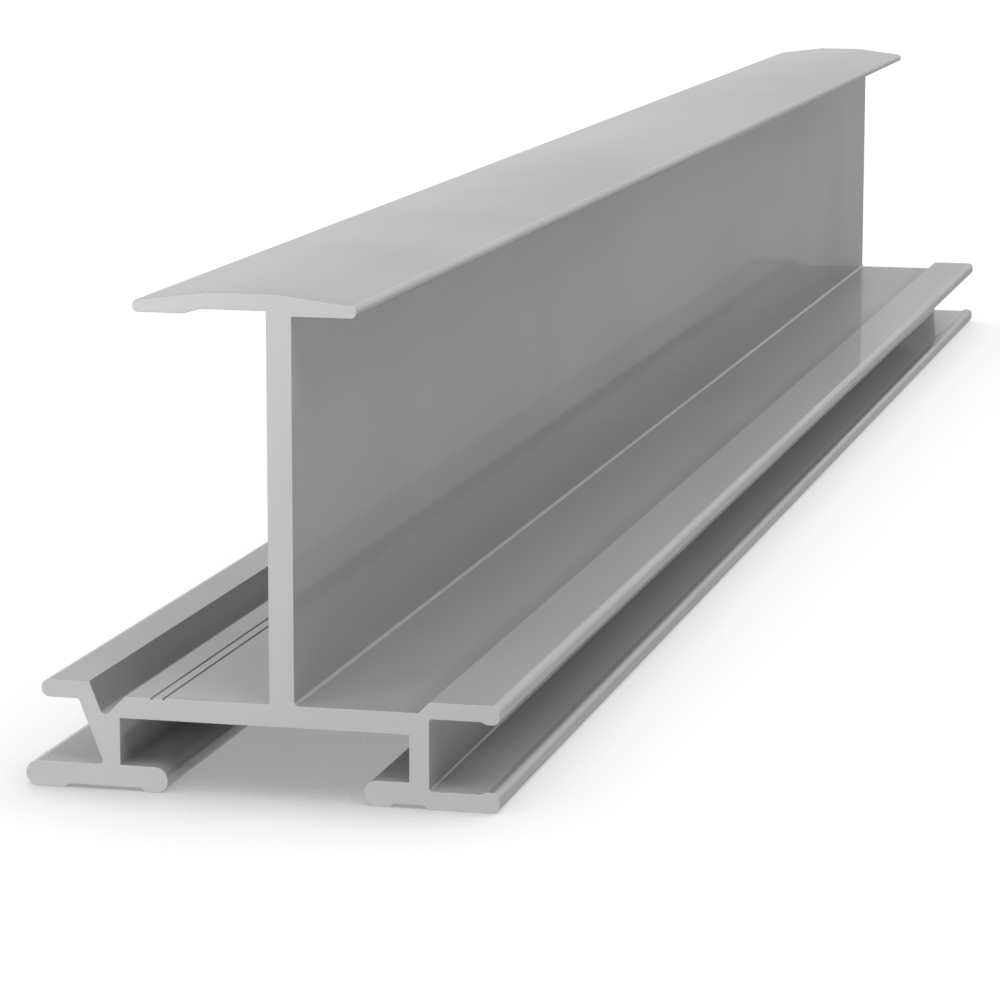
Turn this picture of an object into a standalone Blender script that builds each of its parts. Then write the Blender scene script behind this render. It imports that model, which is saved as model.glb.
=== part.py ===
# Solar mounting rail: one length of extruded aluminium with sawn ends.
#
# The section is drawn in the XZ plane and drawn out along Y. It has a wide base flange on two
# legs, a thin web, and a cap. The edges of solar modules slide in on both sides of the web,
# between the base flange and the cap. Heights start at the resting plane, widths start at the
# middle of the web, and the finished rail is then moved over its own middle.

import math

import bmesh
import bpy

# Overall, in metres
LENGTH = 0.350
CLEAR_HEIGHT = 0.0360         # base flange to cap, for a 35 mm module frame
BASE_HEIGHT = 0.0090          # resting plane to the top of the base flange

# Web and base flange
WEB_THICKNESS = 0.0024
WEB_FILLET_LEFT = 0.0002
WEB_FILLET_RIGHT = 0.0004
FLANGE_THICKNESS = 0.0021
SCRIBE_PLACE = 0.0114         # middle of the web to the nearer scribed line
SCRIBE_SPACING = 0.00115
SCRIBE_WIDTH = 0.00024
SCRIBE_DEPTH = 0.0002

# Cap
CAP_WIDTH = 0.0212
CAP_SHIFT = 0.0033            # middle of the cap to the middle of the web
CAP_THICKNESS = 0.0020        # over its flat middle
CAP_SLOPE = math.radians(7.1)
CAP_NOSE_RADIUS = 0.00052
CAP_PAD_WIDTH = 0.0049
CAP_RELIEF_DEPTH = 0.00045
CAP_RELIEF_BEVEL = 0.0016
CAP_FILLET = 0.00015

# Feet, with the recess under them that leaves a land along each edge
FOOT_THICKNESS = 0.00243
RECESS_DEPTH = 0.00034
RECESS_BEVEL = 0.0004

# Right leg and the clamp channel outside it
RIGHT_LEG_PLACE = 0.0140      # middle of the web to the outer face of the leg
LEG_THICKNESS = 0.0019
RIGHT_TOE_LENGTH = 0.0043
RIGHT_TOE_LAND = 0.0024
RIGHT_FOOT_LAND = 0.0068
CHANNEL_DEPTH = 0.0066
CHANNEL_FILLET = 0.0003
STEP_RISE = 0.00105
STEP_RUN = 0.0010
STRIP_THICKNESS = 0.00157
LEDGE_THICKNESS = 0.00169
LIP_WIDTH = 0.0012
LIP_HEIGHT = 0.00025
LIP_BEVEL = 0.00055
LIP_RADIUS = 0.0007

# Left leg, its slanted hook and the groove behind the hook
LEFT_LEG_PLACE = 0.0157       # middle of the web to the inner face of the leg
LEFT_LEG_ROOT = 0.0016
LEFT_TOE_LENGTH = 0.0046
LEFT_TOE_LAND = 0.0022
HEEL_LENGTH = 0.0093
HEEL_LAND = 0.0038
HOOK_SLANT = math.radians(21.5)
HOOK_WALL = 0.00162
HOOK_RISE = 0.00127
HOOK_THICKNESS = 0.00169
HOOK_LENGTH = 0.0047
HOOK_FILLET = 0.00035
GROOVE_SLOPE = math.radians(45.0)
GROOVE_WALL = 0.0011
GROOVE_RADIUS = 0.0005

# Longest turn from one point of an arc to the next
ARC_STEP = math.radians(9.0)

# Surface
SATIN_ALUMINIUM = (0.62, 0.62, 0.63, 1.0)
SATIN_ROUGHNESS = 0.34


def rounded(corners):
    """Outline through corners (x, z, radius), with an arc in each corner that has a radius."""
    outline = []
    count = len(corners)
    for i in range(count):
        x, z, radius = corners[i]
        before = corners[i - 1]
        after = corners[(i + 1) % count]
        ax, az = before[0] - x, before[1] - z
        bx, bz = after[0] - x, after[1] - z
        a_length = math.hypot(ax, az)
        b_length = math.hypot(bx, bz)
        ax, az = ax / a_length, az / a_length
        bx, bz = bx / b_length, bz / b_length
        turn = math.pi - math.acos(max(-1.0, min(1.0, ax * bx + az * bz)))
        if radius <= 0.0 or turn < 1e-4:
            outline.append((x, z))
            continue
        # The arc leaves each side by its middle at the latest
        reach = min(radius * math.tan(turn / 2), a_length / 2, b_length / 2)
        radius = reach / math.tan(turn / 2)
        to_centre = radius / math.cos(turn / 2)
        mx, mz = ax + bx, az + bz
        middle = math.hypot(mx, mz)
        cx = x + mx / middle * to_centre
        cz = z + mz / middle * to_centre
        start = math.atan2(z + az * reach - cz, x + ax * reach - cx)
        sweep = math.atan2(z + bz * reach - cz, x + bx * reach - cx) - start
        sweep = (sweep + math.pi) % (2 * math.pi) - math.pi
        steps = max(2, math.ceil(turn / ARC_STEP))
        for step in range(steps + 1):
            angle = start + sweep * step / steps
            outline.append((cx + radius * math.cos(angle), cz + radius * math.sin(angle)))
    # Two arcs that meet share one point
    return [point for i, point in enumerate(outline) if math.dist(point, outline[i - 1]) > 1e-7]


def cap_corners():
    """Right edge of the cap round to its left edge, over the top, then under to the web."""
    web = WEB_THICKNESS / 2
    under = BASE_HEIGHT + CLEAR_HEIGHT
    top = under + CAP_THICKNESS
    right = CAP_WIDTH / 2 - CAP_SHIFT
    left = -CAP_WIDTH / 2 - CAP_SHIFT
    flat = 2 * CAP_SHIFT
    fall = (CAP_WIDTH - flat) / 2 * math.tan(CAP_SLOPE)
    pad = left + CAP_PAD_WIDTH
    return [
        (web, under, CAP_FILLET),
        (right, under, CAP_NOSE_RADIUS),
        (right, top - fall, CAP_NOSE_RADIUS),
        (0.0, top, 0.0),
        (-flat, top, 0.0),
        (left, top - fall, CAP_NOSE_RADIUS),
        (left, under, CAP_NOSE_RADIUS),
        (pad, under, 0.0),
        (pad + CAP_RELIEF_BEVEL, under + CAP_RELIEF_DEPTH, 0.0),
        (-web, under + CAP_RELIEF_DEPTH, CAP_FILLET),
    ]


def scribe_corners():
    """The two lines scribed in the left half of the base flange, from the web outwards."""
    floor = BASE_HEIGHT - SCRIBE_DEPTH
    corners = []
    for line in range(2):
        middle = -SCRIBE_PLACE - line * SCRIBE_SPACING
        right = middle + SCRIBE_WIDTH / 2
        left = middle - SCRIBE_WIDTH / 2
        corners.append((right, BASE_HEIGHT, 0.0))
        corners.append((right, floor, 0.0))
        corners.append((left, floor, 0.0))
        corners.append((left, BASE_HEIGHT, 0.0))
    return corners


def hook_corners():
    """Groove, hook and slanted wall, from the base flange down to the top of the left foot."""
    slant = math.tan(HOOK_SLANT)
    slope = math.tan(GROOVE_SLOPE)
    inner = -LEFT_LEG_PLACE
    outer = inner - LEFT_LEG_ROOT
    hook_top = BASE_HEIGHT + HOOK_RISE
    hook_under = hook_top - HOOK_THICKNESS

    # The groove's right side keeps its wall to the corner of the channel below
    lower_corner = BASE_HEIGHT - FLANGE_THICKNESS
    above = lower_corner + GROOVE_WALL / math.cos(GROOVE_SLOPE)
    groove_edge = inner + (BASE_HEIGHT - above) / slope

    # The groove's left side runs beside the slanted wall
    across = HOOK_WALL / math.cos(HOOK_SLANT)

    def slanted(height):
        return outer - (height - FOOT_THICKNESS) * slant

    rise_at_edge = slanted(BASE_HEIGHT) + across
    groove_depth = (groove_edge - rise_at_edge) / (1 / slope + slant)
    groove_bottom = BASE_HEIGHT - groove_depth
    hook_edge = slanted(hook_top) + across
    nose = hook_edge - HOOK_LENGTH
    return [
        (groove_edge, BASE_HEIGHT, 0.0),
        (slanted(groove_bottom) + across, groove_bottom, GROOVE_RADIUS),
        (hook_edge, hook_top, 0.0),
        (nose, hook_top, HOOK_THICKNESS / 2),
        (nose, hook_under, HOOK_THICKNESS / 2),
        (slanted(hook_under), hook_under, HOOK_FILLET),
        (outer, FOOT_THICKNESS, HOOK_FILLET),
    ]


def left_foot_corners():
    """Heel, recessed underside and toe of the left foot, up to the base flange."""
    inner = -LEFT_LEG_PLACE
    heel = inner - HEEL_LENGTH
    toe = inner + LEFT_TOE_LENGTH
    recess_left = heel + HEEL_LAND
    recess_right = toe - LEFT_TOE_LAND
    return [
        (heel, FOOT_THICKNESS, FOOT_THICKNESS / 2),
        (heel, 0.0, FOOT_THICKNESS / 2),
        (recess_left, 0.0, 0.0),
        (recess_left + RECESS_BEVEL, RECESS_DEPTH, 0.0),
        (recess_right - RECESS_BEVEL, RECESS_DEPTH, 0.0),
        (recess_right, 0.0, 0.0),
        (toe, 0.0, FOOT_THICKNESS / 2),
        (toe, FOOT_THICKNESS, FOOT_THICKNESS / 2),
        (inner, FOOT_THICKNESS, 0.0),
        (inner, BASE_HEIGHT - FLANGE_THICKNESS, 0.0),
    ]


def right_foot_corners():
    """Toe and recessed underside of the right foot, from the base flange out to the lip."""
    outer = RIGHT_LEG_PLACE
    inner = outer - LEG_THICKNESS
    toe = inner - RIGHT_TOE_LENGTH
    lip = outer + CHANNEL_DEPTH
    recess_left = toe + RIGHT_TOE_LAND
    recess_right = lip - RIGHT_FOOT_LAND
    return [
        (inner, BASE_HEIGHT - FLANGE_THICKNESS, 0.0),
        (inner, FOOT_THICKNESS, 0.0),
        (toe, FOOT_THICKNESS, FOOT_THICKNESS / 2),
        (toe, 0.0, FOOT_THICKNESS / 2),
        (recess_left, 0.0, 0.0),
        (recess_left + RECESS_BEVEL, RECESS_DEPTH, 0.0),
        (recess_right - RECESS_BEVEL, RECESS_DEPTH, 0.0),
        (recess_right, 0.0, 0.0),
        (lip, 0.0, LIP_RADIUS),
    ]


def clamp_channel_corners():
    """The side channel with its two lips, then the raised strip over it and the step."""
    back = RIGHT_LEG_PLACE
    lip = back + CHANNEL_DEPTH
    lip_start = lip - LIP_WIDTH
    strip_top = BASE_HEIGHT + STEP_RISE
    strip_under = strip_top - STRIP_THICKNESS
    return [
        (lip, LEDGE_THICKNESS + LIP_HEIGHT, LIP_RADIUS),
        (lip_start, LEDGE_THICKNESS + LIP_HEIGHT, LIP_HEIGHT),
        (lip_start - LIP_BEVEL, LEDGE_THICKNESS, 0.0),
        (back, LEDGE_THICKNESS, CHANNEL_FILLET),
        (back, strip_under, CHANNEL_FILLET),
        (lip_start - LIP_BEVEL, strip_under, 0.0),
        (lip_start, strip_under - LIP_HEIGHT, LIP_HEIGHT),
        (lip, strip_under - LIP_HEIGHT, LIP_RADIUS),
        (lip, strip_top, LIP_RADIUS),
        (back, strip_top, 0.0),
        (back - STEP_RUN, BASE_HEIGHT, 0.0),
    ]


def section():
    """The whole section as one closed outline, anticlockwise seen from the front."""
    web = WEB_THICKNESS / 2
    corners = [(web, BASE_HEIGHT, WEB_FILLET_RIGHT)]
    corners += cap_corners()
    corners += [(-web, BASE_HEIGHT, WEB_FILLET_LEFT)]
    corners += scribe_corners()
    corners += hook_corners()
    corners += left_foot_corners()
    corners += right_foot_corners()
    corners += clamp_channel_corners()
    return rounded(corners)


def satin_aluminium():
    material = bpy.data.materials.new("satin_aluminium")
    material.use_nodes = True
    shader = material.node_tree.nodes["Principled BSDF"]
    shader.inputs["Base Color"].default_value = SATIN_ALUMINIUM
    shader.inputs["Roughness"].default_value = SATIN_ROUGHNESS
    shader.inputs["Metallic"].default_value = 1.0
    return material


def rail():
    outline = section()
    left = min(x for x, z in outline)
    right = max(x for x, z in outline)

    bm = bmesh.new()
    verts = [bm.verts.new((x, -LENGTH / 2, z)) for x, z in outline]
    front = bm.faces.new(verts)
    drawn = bmesh.ops.extrude_face_region(bm, geom=[front])
    far_end = [item for item in drawn["geom"] if isinstance(item, bmesh.types.BMVert)]
    bmesh.ops.translate(bm, verts=far_end, vec=(0.0, LENGTH, 0.0))
    bmesh.ops.recalc_face_normals(bm, faces=bm.faces)

    mesh = bpy.data.meshes.new("rail")
    bm.to_mesh(mesh)
    bm.free()
    mesh.shade_smooth()
    mesh.set_sharp_from_angle(angle=math.radians(20.0))
    mesh.materials.append(satin_aluminium())

    piece = bpy.data.objects.new("rail", mesh)
    piece.location.x = -(left + right) / 2
    bpy.context.scene.collection.objects.link(piece)
    return piece


for leftover in list(bpy.data.objects):
    bpy.data.objects.remove(leftover, do_unlink=True)
rail()
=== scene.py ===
import math

import bpy
from mathutils import Euler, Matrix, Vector


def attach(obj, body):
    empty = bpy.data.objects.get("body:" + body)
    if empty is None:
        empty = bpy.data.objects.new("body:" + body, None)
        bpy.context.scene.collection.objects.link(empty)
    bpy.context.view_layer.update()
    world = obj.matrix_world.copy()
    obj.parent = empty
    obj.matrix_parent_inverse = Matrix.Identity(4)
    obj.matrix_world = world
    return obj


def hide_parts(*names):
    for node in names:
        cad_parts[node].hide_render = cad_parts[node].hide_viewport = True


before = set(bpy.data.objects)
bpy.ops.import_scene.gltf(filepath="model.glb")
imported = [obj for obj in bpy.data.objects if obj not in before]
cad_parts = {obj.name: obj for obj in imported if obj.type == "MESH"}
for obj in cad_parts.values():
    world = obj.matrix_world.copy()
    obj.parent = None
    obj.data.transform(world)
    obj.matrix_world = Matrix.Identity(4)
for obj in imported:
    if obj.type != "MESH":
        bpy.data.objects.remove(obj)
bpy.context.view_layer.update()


# The rail is one length of aluminium that was pressed hot through a die, stretched straight and
# sawn off square at both ends. Its skin is satin with faint lines along the length, and its ends
# keep the shallow arcs of the saw. Every arris is broken by a few hundredths of a millimetre.
ARRIS_BREAK = 0.00005
ARRIS_STEPS = 2
SAME_POINT = 0.000001
FLAT_TURN = math.radians(0.5)
SHARP_TURN = math.radians(25)
SMOOTH_TURN = math.radians(50)
WIDE_FACES_LEAD = 100

rail = bpy.data.objects.new("rail_stock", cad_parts["rail"].data.copy())
bpy.context.scene.collection.objects.link(rail)
bpy.ops.object.select_all(action="DESELECT")
bpy.context.view_layer.objects.active = rail
rail.select_set(True)
bpy.ops.object.mode_set(mode="EDIT")
bpy.ops.mesh.select_all(action="SELECT")
bpy.ops.mesh.remove_doubles(threshold=SAME_POINT)
bpy.ops.mesh.customdata_custom_splitnormals_clear()
bpy.ops.mesh.dissolve_limited(angle_limit=FLAT_TURN)
bpy.ops.mesh.select_all(action="DESELECT")
bpy.ops.mesh.select_mode(type="EDGE")
bpy.ops.mesh.edges_select_sharp(sharpness=SHARP_TURN)
bpy.ops.mesh.bevel(offset=ARRIS_BREAK, segments=ARRIS_STEPS, affect="EDGES")
bpy.ops.mesh.select_mode(type="VERT")
bpy.ops.mesh.select_all(action="DESELECT")
bpy.ops.object.mode_set(mode="OBJECT")
bpy.ops.object.shade_smooth_by_angle(angle=SMOOTH_TURN)
bpy.ops.object.modifier_add(type="WEIGHTED_NORMAL")
rail.modifiers[-1].keep_sharp = True
rail.modifiers[-1].weight = WIDE_FACES_LEAD
bpy.ops.object.modifier_apply(modifier=rail.modifiers[-1].name)

# The rounded outer edges carry a painted highlight, from 3 degrees of lean to a little past
# upright.
# The top of the base and the strip carry painted light, the strip more, and frames that slide in
# along the base scuff the oxide on both. A painted shadow darkens the base along the strip's foot.
END_FACING = 0.5
CAP_ABOVE = 0.0449
CAP_EDGES = (-0.0111, 0.0089)
STRIP_EDGE = 0.0221
HOOK_EDGE = -0.0203
# Painted highlight on the rounded outer edges, set by degrees of lean.
HIGHLIGHT_START = 3
HIGHLIGHT_END = 105
HIGHLIGHT_FADE = 30
# Level faces of the base top and the strip carry painted light, the strip more, and scuffs thin
# their oxide.
LEVEL_LEAN = 5
LEVEL_GAP = 0.0001
BASE_TOP = 0.009
BASE_PAINTED_LIGHT = 0.1
BASE_SCUFF = 1.0
STRIP_INNER = 0.0135
STRIP_PAINTED_LIGHT = 0.5
STRIP_SCUFF = 0.7

# The floor and roof of the clamp channel carry painted light, and its wall and the side of the
# groove carry painted shade. The space between the legs takes the base's painted light. Each place
# is given by its left, right, low and high side.
CHANNEL_PAINTED_LIGHT = 0.75
WALL_PAINTED_SHADE = -0.4
CLAMP_CHANNEL = (0.0163, 0.0219, 0.0016, 0.0086)
CLAMP_WALL = (0.0161, 0.0163, 0.0019, 0.0083)
LEG_SPACE = (-0.0136, 0.0144, 0.0023, 0.0071)
GROOVE_SIDE = (-0.0165, -0.0153, 0.0075, 0.0103)
PAINTED_INNER_PLACES = ((CLAMP_CHANNEL, CHANNEL_PAINTED_LIGHT),
                (CLAMP_WALL, WALL_PAINTED_SHADE),
                (LEG_SPACE, BASE_PAINTED_LIGHT),
                (GROOVE_SIDE, WALL_PAINTED_SHADE))

# Per face: painted light and shade, scuffed oxide, and the painted shadow along the strip's foot.
painted_light = rail.data.attributes.new("painted_light", "FLOAT", "FACE")
scuffed = rail.data.attributes.new("scuffed", "FLOAT", "FACE")
painted_shadow = rail.data.attributes.new("painted_shadow", "FLOAT", "FACE")
painted_light_and_scuff_of_faces = zip(rail.data.polygons, painted_light.data, scuffed.data, painted_shadow.data)
for face, painted_light_here, scrape, painted_shadow_here in painted_light_and_scuff_of_faces:
    x, y, z = face.center
    if abs(face.normal.y) > END_FACING:
        continue
    at_edge = x > STRIP_EDGE or x < HOOK_EDGE
    at_edge = at_edge or (z > CAP_ABOVE and not CAP_EDGES[0] < x < CAP_EDGES[1])
    lean = math.degrees(math.atan2(abs(face.normal.x), face.normal.z))
    # Painted highlight on the rounded outer edges.
    if at_edge:
        painted_light_here.value = max(0.0, min(1.0, lean / HIGHLIGHT_START, (HIGHLIGHT_END - lean) / HIGHLIGHT_FADE))
    elif lean < LEVEL_LEAN and abs(z - BASE_TOP) < LEVEL_GAP:
        painted_light_here.value = BASE_PAINTED_LIGHT
        scrape.value = BASE_SCUFF
        painted_shadow_here.value = 1.0
    elif lean < LEVEL_LEAN and x > STRIP_INNER and z > BASE_TOP:
        painted_light_here.value = STRIP_PAINTED_LIGHT
        scrape.value = STRIP_SCUFF
    # Painted light and painted shade inside the channels and on the groove's side.
    for (left, right, low, high), inner_painted_light in PAINTED_INNER_PLACES:
        if left < x < right and low < z < high:
            painted_light_here.value = inner_painted_light

# Lines that the die leaves in the skin: as narrow as the die's own scratches, as long as the rail.
# Broader streaks, an eighth as many to the metre, lie between the fine ones.
FINE_DETAIL = 3.0
FINE_ROUGHNESS = 0.7
BROAD_DETAIL = 2.0
BROAD_SCALE = 0.12
BROAD_SHARE = 0.45

die_lines = bpy.data.node_groups.new("die_lines", "ShaderNodeTree")
for name, kind, way in (("Spacing", "NodeSocketFloat", "INPUT"),
                        ("Drift", "NodeSocketFloat", "INPUT"),
                        ("Streak", "NodeSocketFloat", "OUTPUT"),
                        ("Height", "NodeSocketFloat", "OUTPUT")):
    die_lines.interface.new_socket(name=name, in_out=way, socket_type=kind)
nodes, links = die_lines.nodes, die_lines.links
given = nodes.new("NodeGroupInput")
result = nodes.new("NodeGroupOutput")
place = nodes.new("ShaderNodeTexCoord")
drawn = nodes.new("ShaderNodeVectorMath")
drawn.operation = "MULTIPLY"
lengthwise = nodes.new("ShaderNodeCombineXYZ")
lengthwise.inputs["X"].default_value = 1.0
lengthwise.inputs["Z"].default_value = 1.0
per_metre = nodes.new("ShaderNodeMath")
per_metre.operation = "DIVIDE"
per_metre.inputs[0].default_value = 1.0
fine = nodes.new("ShaderNodeTexNoise")
fine.inputs["Detail"].default_value = FINE_DETAIL
fine.inputs["Roughness"].default_value = FINE_ROUGHNESS
broad_scale = nodes.new("ShaderNodeMath")
broad_scale.operation = "MULTIPLY"
broad_scale.inputs[1].default_value = BROAD_SCALE
broad = nodes.new("ShaderNodeTexNoise")
broad.inputs["Detail"].default_value = BROAD_DETAIL
both = nodes.new("ShaderNodeMix")
both.data_type = "FLOAT"
both.inputs["Factor"].default_value = BROAD_SHARE
links.new(given.outputs["Drift"], lengthwise.inputs["Y"])
links.new(place.outputs["Object"], drawn.inputs[0])
links.new(lengthwise.outputs["Vector"], drawn.inputs[1])
links.new(given.outputs["Spacing"], per_metre.inputs[1])
links.new(per_metre.outputs["Value"], fine.inputs["Scale"])
links.new(per_metre.outputs["Value"], broad_scale.inputs[0])
links.new(broad_scale.outputs["Value"], broad.inputs["Scale"])
links.new(drawn.outputs["Vector"], fine.inputs["Vector"])
links.new(drawn.outputs["Vector"], broad.inputs["Vector"])
links.new(fine.outputs["Fac"], both.inputs["A"])
links.new(broad.outputs["Fac"], both.inputs["B"])
links.new(both.outputs["Result"], result.inputs["Streak"])
links.new(fine.outputs["Fac"], result.inputs["Height"])

# Soft blotches that handling, washing and storing leave on all of the rail.
BLOTCH_DETAIL = 4.0
BLOTCH_ROUGHNESS = 0.6
BLOTCH_FROM = 0.35
BLOTCH_TO = 0.7

handling = bpy.data.node_groups.new("handling", "ShaderNodeTree")
for name, kind, way in (("Patch Size", "NodeSocketFloat", "INPUT"),
                        ("Low", "NodeSocketFloat", "INPUT"),
                        ("High", "NodeSocketFloat", "INPUT"),
                        ("Mask", "NodeSocketFloat", "OUTPUT")):
    handling.interface.new_socket(name=name, in_out=way, socket_type=kind)
nodes, links = handling.nodes, handling.links
given = nodes.new("NodeGroupInput")
result = nodes.new("NodeGroupOutput")
place = nodes.new("ShaderNodeTexCoord")
per_metre = nodes.new("ShaderNodeMath")
per_metre.operation = "DIVIDE"
per_metre.inputs[0].default_value = 1.0
blotch = nodes.new("ShaderNodeTexNoise")
blotch.inputs["Detail"].default_value = BLOTCH_DETAIL
blotch.inputs["Roughness"].default_value = BLOTCH_ROUGHNESS
spread = nodes.new("ShaderNodeMapRange")
spread.interpolation_type = "SMOOTHSTEP"
spread.inputs["From Min"].default_value = BLOTCH_FROM
spread.inputs["From Max"].default_value = BLOTCH_TO
links.new(given.outputs["Patch Size"], per_metre.inputs[1])
links.new(per_metre.outputs["Value"], blotch.inputs["Scale"])
links.new(place.outputs["Object"], blotch.inputs["Vector"])
links.new(blotch.outputs["Fac"], spread.inputs["Value"])
links.new(given.outputs["Low"], spread.inputs["To Min"])
links.new(given.outputs["High"], spread.inputs["To Max"])
links.new(spread.outputs["Result"], result.inputs["Mask"])

# Satin skin: a soft grey metal under its thin clear oxide, which mirrors sharply at a low angle.
# It is paler where light is painted on and darker where shade is painted on, its oxide is thinner
# where frames scuff it, and a painted shadow darkens it along the strip's foot.
SKIN_METALLIC = 0.1
SKIN_IOR = 1.3
SKIN_DARK = (0.44, 0.44, 0.444, 1.0)
SKIN_LIGHT = (0.46, 0.46, 0.464, 1.0)
# Colour that the painted light and painted highlight lean towards.
SKIN_PAINTED_LIGHT = (0.66, 0.66, 0.664, 1.0)
SKIN_SMOOTH = 0.42
SKIN_ROUGH = 0.5
OXIDE_IOR = 1.77
OXIDE_ROUGHNESS = 0.03
OXIDE_COVER = 0.365
OXIDE_SCUFFED_BY = -0.14
STREAK_FROM = 0.3
STREAK_TO = 0.7
LINE_SPACING = 0.00035
LINE_DRIFT = 0.004
LINE_STRENGTH = 0.5
LINE_DEPTH = 0.000003
SKIN_BLOTCH_SIZE = 0.03
SKIN_BLOTCH_LOW = -0.02
SKIN_BLOTCH_HIGH = 0.03
# Painted shadow on the base along the strip's foot.
PAINTED_SHADOW_COLOUR = (0.2, 0.2, 0.196, 1.0)
PAINTED_SHADOW_FROM = 0.0125
PAINTED_SHADOW_TO = 0.0148
PAINTED_SHADOW_COVER = 0.3

skin = bpy.data.materials.new("satin_skin")
skin.use_nodes = True
nodes, links = skin.node_tree.nodes, skin.node_tree.links
shader = nodes["Principled BSDF"]
shader.inputs["Metallic"].default_value = SKIN_METALLIC
shader.inputs["IOR"].default_value = SKIN_IOR
shader.inputs["Coat Roughness"].default_value = OXIDE_ROUGHNESS
shader.inputs["Coat IOR"].default_value = OXIDE_IOR
lines = nodes.new("ShaderNodeGroup")
lines.node_tree = die_lines
lines.inputs["Spacing"].default_value = LINE_SPACING
lines.inputs["Drift"].default_value = LINE_DRIFT
marks = nodes.new("ShaderNodeGroup")
marks.node_tree = handling
marks.inputs["Patch Size"].default_value = SKIN_BLOTCH_SIZE
marks.inputs["Low"].default_value = SKIN_BLOTCH_LOW
marks.inputs["High"].default_value = SKIN_BLOTCH_HIGH
tone = nodes.new("ShaderNodeValToRGB")
tone.color_ramp.elements[0].position = STREAK_FROM
tone.color_ramp.elements[0].color = SKIN_DARK
tone.color_ramp.elements[1].position = STREAK_TO
tone.color_ramp.elements[1].color = SKIN_LIGHT
# Painted light and shade, read from the per-face value.
painted_light_input = nodes.new("ShaderNodeAttribute")
painted_light_input.attribute_name = "painted_light"
bright = nodes.new("ShaderNodeMix")
bright.data_type = "RGBA"
bright.clamp_factor = False
bright.inputs["B"].default_value = SKIN_PAINTED_LIGHT
# Painted shadow along the strip's foot, fading in across X.
painted_shadow_input = nodes.new("ShaderNodeAttribute")
painted_shadow_input.attribute_name = "painted_shadow"
place = nodes.new("ShaderNodeTexCoord")
across = nodes.new("ShaderNodeSeparateXYZ")
foot = nodes.new("ShaderNodeMapRange")
foot.interpolation_type = "SMOOTHSTEP"
foot.inputs["From Min"].default_value = PAINTED_SHADOW_FROM
foot.inputs["From Max"].default_value = PAINTED_SHADOW_TO
foot.inputs["To Max"].default_value = PAINTED_SHADOW_COVER
shadow_amount = nodes.new("ShaderNodeMath")
shadow_amount.operation = "MULTIPLY"
with_painted_shadow = nodes.new("ShaderNodeMix")
with_painted_shadow.data_type = "RGBA"
with_painted_shadow.inputs["B"].default_value = PAINTED_SHADOW_COLOUR
scuff = nodes.new("ShaderNodeAttribute")
scuff.attribute_name = "scuffed"
film = nodes.new("ShaderNodeMath")
film.operation = "MULTIPLY_ADD"
film.inputs[1].default_value = OXIDE_SCUFFED_BY
film.inputs[2].default_value = OXIDE_COVER
sheen = nodes.new("ShaderNodeMapRange")
sheen.inputs["From Min"].default_value = STREAK_FROM
sheen.inputs["From Max"].default_value = STREAK_TO
sheen.inputs["To Min"].default_value = SKIN_SMOOTH
sheen.inputs["To Max"].default_value = SKIN_ROUGH
rough = nodes.new("ShaderNodeMath")
rough.operation = "ADD"
gloss = nodes.new("ShaderNodeMath")
gloss.operation = "SUBTRACT"
relief = nodes.new("ShaderNodeBump")
relief.inputs["Strength"].default_value = LINE_STRENGTH
relief.inputs["Distance"].default_value = LINE_DEPTH
links.new(lines.outputs["Streak"], tone.inputs["Fac"])
links.new(lines.outputs["Streak"], sheen.inputs["Value"])
links.new(sheen.outputs["Result"], rough.inputs[0])
links.new(marks.outputs["Mask"], rough.inputs[1])
links.new(scuff.outputs["Fac"], film.inputs[0])
links.new(film.outputs["Value"], gloss.inputs[0])
links.new(marks.outputs["Mask"], gloss.inputs[1])
links.new(lines.outputs["Height"], relief.inputs["Height"])
links.new(painted_light_input.outputs["Fac"], bright.inputs["Factor"])
links.new(tone.outputs["Color"], bright.inputs["A"])
links.new(place.outputs["Object"], across.inputs["Vector"])
links.new(across.outputs["X"], foot.inputs["Value"])
links.new(foot.outputs["Result"], shadow_amount.inputs[0])
links.new(painted_shadow_input.outputs["Fac"], shadow_amount.inputs[1])
links.new(shadow_amount.outputs["Value"], with_painted_shadow.inputs["Factor"])
links.new(bright.outputs["Result"], with_painted_shadow.inputs["A"])
links.new(with_painted_shadow.outputs["Result"], shader.inputs["Base Color"])
links.new(rough.outputs["Value"], shader.inputs["Roughness"])
links.new(gloss.outputs["Value"], shader.inputs["Coat Weight"])
links.new(relief.outputs["Normal"], shader.inputs["Normal"])

# Sawn ends: matt and a little lighter, with the arcs of a saw blade that came up from below. The
# wave texture runs through 20 radians in each unit of its scale.
CUT_METALLIC = 0.5
CUT_IOR = 1.3
CUT_DARK = (0.465, 0.465, 0.468, 1.0)
CUT_LIGHT = (0.475, 0.475, 0.478, 1.0)
CUT_ROUGHNESS = 0.4
BLADE_AXIS = (0.110, 0.0, -0.125)
TOOTH_SPACING = 0.00035
TOOTH_STRENGTH = 0.15
TOOTH_DEPTH = 0.000002
WAVE_RADIANS = 20
ARC_DISTORTION = 1.5
ARC_DETAIL = 3.0
ARC_DETAIL_SCALE = 0.4
CUT_BLOTCH_SIZE = 0.012
CUT_BLOTCH_SPREAD = 0.03

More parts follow.
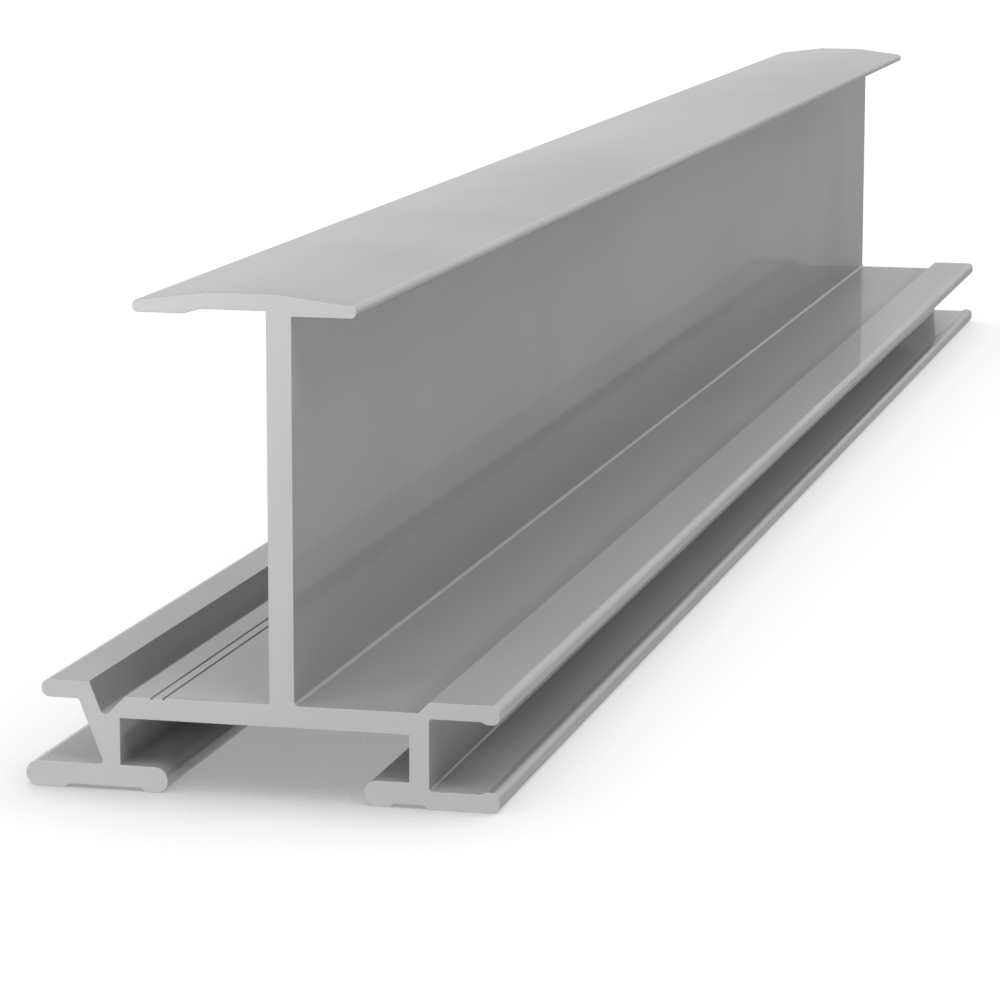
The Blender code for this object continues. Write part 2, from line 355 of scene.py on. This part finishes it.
sawn = bpy.data.materials.new("sawn_end")
sawn.use_nodes = True
nodes, links = sawn.node_tree.nodes, sawn.node_tree.links
cut = nodes["Principled BSDF"]
cut.inputs["Metallic"].default_value = CUT_METALLIC
cut.inputs["IOR"].default_value = CUT_IOR
place = nodes.new("ShaderNodeTexCoord")
blade = nodes.new("ShaderNodeMapping")
blade.vector_type = "POINT"
blade.inputs["Location"].default_value = tuple(-value for value in BLADE_AXIS)
blade.inputs["Scale"].default_value = (1.0, 0.0, 1.0)
arcs = nodes.new("ShaderNodeTexWave")
arcs.wave_type = "RINGS"
arcs.rings_direction = "Y"
arcs.inputs["Scale"].default_value = math.tau / WAVE_RADIANS / TOOTH_SPACING
arcs.inputs["Distortion"].default_value = ARC_DISTORTION
arcs.inputs["Detail"].default_value = ARC_DETAIL
arcs.inputs["Detail Scale"].default_value = ARC_DETAIL_SCALE
marks = nodes.new("ShaderNodeGroup")
marks.node_tree = handling
marks.inputs["Patch Size"].default_value = CUT_BLOTCH_SIZE
marks.inputs["Low"].default_value = -CUT_BLOTCH_SPREAD
marks.inputs["High"].default_value = CUT_BLOTCH_SPREAD
tone = nodes.new("ShaderNodeValToRGB")
tone.color_ramp.elements[0].color = CUT_DARK
tone.color_ramp.elements[1].color = CUT_LIGHT
matt = nodes.new("ShaderNodeMath")
matt.operation = "ADD"
matt.inputs[0].default_value = CUT_ROUGHNESS
relief = nodes.new("ShaderNodeBump")
relief.inputs["Strength"].default_value = TOOTH_STRENGTH
relief.inputs["Distance"].default_value = TOOTH_DEPTH
links.new(place.outputs["Object"], blade.inputs["Vector"])
links.new(blade.outputs["Vector"], arcs.inputs["Vector"])
links.new(arcs.outputs["Fac"], tone.inputs["Fac"])
links.new(marks.outputs["Mask"], matt.inputs[1])
links.new(arcs.outputs["Fac"], relief.inputs["Height"])
links.new(tone.outputs["Color"], cut.inputs["Base Color"])
links.new(matt.outputs["Value"], cut.inputs["Roughness"])
links.new(relief.outputs["Normal"], cut.inputs["Normal"])

rail.data.materials.clear()
rail.data.materials.append(skin)
rail.data.materials.append(sawn)
for face in rail.data.polygons:
    face.material_index = 1 if abs(face.normal.y) > END_FACING else 0

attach(rail, "root")
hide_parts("rail")


# The floor is a plain white sheet that the rail lies on. It is white by its own colour wherever
# the lens or a mirror sees it, and keeps the soft shadow that gathers under and beside the rail.
FLOOR_SIZE = 8.0
FLOOR_GREY = 0.92
FLOOR_SEEN_GREY = 0.15
SHADE_SAMPLES = 4
SHADOW_REACH = 0.034
SHADOW_FROM = Vector((0.08, 0.65, 1.0)).normalized()
DEEP_SHADE = 0.25
OPEN_FLOOR = 0.90
FLOOR_GLOW = 0.96
MIRRORED_GLOW = 0.56

bpy.ops.object.select_all(action="DESELECT")
bpy.ops.mesh.primitive_plane_add(size=FLOOR_SIZE, location=(0, 0, 0))
floor = bpy.context.active_object
floor.name = "floor"
white = bpy.data.materials.new("white_floor")
white.use_nodes = True
nodes, links = white.node_tree.nodes, white.node_tree.links
nodes.remove(nodes["Principled BSDF"])
paper = nodes.new("ShaderNodeBsdfDiffuse")
seen = nodes.new("ShaderNodeLightPath")
mirrored = nodes.new("ShaderNodeMath")
mirrored.operation = "MAXIMUM"
through = nodes.new("ShaderNodeMath")
through.operation = "MAXIMUM"
grey = nodes.new("ShaderNodeMapRange")
grey.inputs["To Min"].default_value = FLOOR_GREY
grey.inputs["To Max"].default_value = FLOOR_SEEN_GREY
open_sky = nodes.new("ShaderNodeAmbientOcclusion")
open_sky.samples = SHADE_SAMPLES
open_sky.inputs["Distance"].default_value = SHADOW_REACH
light_from = nodes.new("ShaderNodeNormal")
light_from.outputs["Normal"].default_value = SHADOW_FROM
shade = nodes.new("ShaderNodeMapRange")
shade.inputs["From Max"].default_value = OPEN_FLOOR
shade.inputs["To Min"].default_value = DEEP_SHADE
in_mirror = nodes.new("ShaderNodeMath")
in_mirror.operation = "MULTIPLY"
in_mirror.inputs[1].default_value = MIRRORED_GLOW
in_view = nodes.new("ShaderNodeMath")
in_view.operation = "MULTIPLY"
glow_level = nodes.new("ShaderNodeMath")
glow_level.operation = "MULTIPLY_ADD"
glow_level.inputs[1].default_value = FLOOR_GLOW
glow = nodes.new("ShaderNodeEmission")
together = nodes.new("ShaderNodeAddShader")
links.new(seen.outputs["Is Glossy Ray"], mirrored.inputs[0])
links.new(seen.outputs["Is Transmission Ray"], mirrored.inputs[1])
links.new(mirrored.outputs["Value"], through.inputs[0])
links.new(seen.outputs["Is Camera Ray"], through.inputs[1])
links.new(through.outputs["Value"], grey.inputs["Value"])
links.new(grey.outputs["Result"], paper.inputs["Color"])
links.new(mirrored.outputs["Value"], in_mirror.inputs[0])
links.new(seen.outputs["Is Camera Ray"], in_view.inputs[0])
links.new(light_from.outputs["Normal"], open_sky.inputs["Normal"])
links.new(open_sky.outputs["AO"], shade.inputs["Value"])
links.new(shade.outputs["Result"], in_view.inputs[1])
links.new(in_view.outputs["Value"], glow_level.inputs[0])
links.new(in_mirror.outputs["Value"], glow_level.inputs[2])
links.new(glow_level.outputs["Value"], glow.inputs["Strength"])
links.new(paper.outputs["BSDF"], together.inputs[0])
links.new(glow.outputs["Emission"], together.inputs[1])
links.new(together.outputs["Shader"], nodes["Material Output"].inputs["Surface"])
floor.data.materials.append(white)


# The camera stands off the near end, to the right of the web and a little above the cap.
CAMERA_PLACE = (0.105869, -0.517721, 0.092386)
CAMERA_YAW = 13.6236
CAMERA_PITCH = -10.1784
CAMERA_ROLL = -0.0784
CAMERA_LENS = 143.679
CAMERA_SENSOR = 36.0
CAMERA_NEAREST = 0.01

bpy.ops.object.camera_add(location=CAMERA_PLACE)
camera = bpy.context.active_object
camera.rotation_mode = "XYZ"
camera.data.lens = CAMERA_LENS
camera.data.sensor_width = CAMERA_SENSOR
camera.data.clip_start = CAMERA_NEAREST
turn = Euler((math.radians(90 + CAMERA_PITCH), 0.0, 0.0)).to_matrix()
turn = Euler((0.0, 0.0, math.radians(CAMERA_YAW))).to_matrix() @ turn
turn = turn @ Euler((0.0, 0.0, -math.radians(CAMERA_ROLL))).to_matrix()
camera.rotation_euler = turn.to_euler("XYZ")
bpy.context.scene.camera = camera


# The light is soft and neutral: wide lamps before, above and behind the rail and on its left, a
# narrower one on its right, and small ones that give the sawn end its sheen, of which only the
# low one shows in mirrors. The room is white wherever the lens or a mirror sees it.
ROOM_FILL = 0.04
MIRRORED_LAMP = "low_left_lamp"

# Each lamp is given by its name, place, width in metres and power in watts.
LAMPS = (("front_lamp", (0.0, -1.1, 0.2), 0.5, 3.3),
         (MIRRORED_LAMP, (-0.5, -1.0, 0.07), 0.12, 2.1),
         ("near_left_lamp", (-0.25, -0.5, 0.3), 0.25, 0.28),
         ("right_lamp", (0.36, -0.4, 0.56), 0.35, 1.0),
         ("top_lamp", (0.0, -0.32, 0.88), 0.7, 1.94),
         ("left_lamp", (-1.1, 0.35, 0.12), 0.5, 2.66),
         ("back_lamp", (0.0, 1.2, 0.15), 0.6, 5.0))

for name, place, width, power in LAMPS:
    bpy.ops.object.light_add(type="AREA", location=place)
    lamp = bpy.context.active_object
    lamp.name = name
    lamp.data.shape = "DISK"
    lamp.data.size = width
    lamp.data.energy = power
    lamp.rotation_euler = Vector(place).to_track_quat("Z", "Y").to_euler()
    lamp.visible_glossy = name == MIRRORED_LAMP

world = bpy.data.worlds.new("studio")
bpy.context.scene.world = world
world.use_nodes = True
nodes, links = world.node_tree.nodes, world.node_tree.links
room = nodes["Background"]
room.inputs["Color"].default_value = (1.0, 1.0, 1.0, 1.0)
seen = nodes.new("ShaderNodeLightPath")
mirrored = nodes.new("ShaderNodeMath")
mirrored.operation = "MAXIMUM"
through = nodes.new("ShaderNodeMath")
through.operation = "MAXIMUM"
level = nodes.new("ShaderNodeMapRange")
level.inputs["To Min"].default_value = ROOM_FILL
links.new(seen.outputs["Is Camera Ray"], mirrored.inputs[0])
links.new(seen.outputs["Is Glossy Ray"], mirrored.inputs[1])
links.new(mirrored.outputs["Value"], through.inputs[0])
links.new(seen.outputs["Is Transmission Ray"], through.inputs[1])
links.new(through.outputs["Value"], level.inputs["Value"])
links.new(level.outputs["Result"], room.inputs["Strength"])

bpy.context.scene.view_settings.view_transform = "Standard"
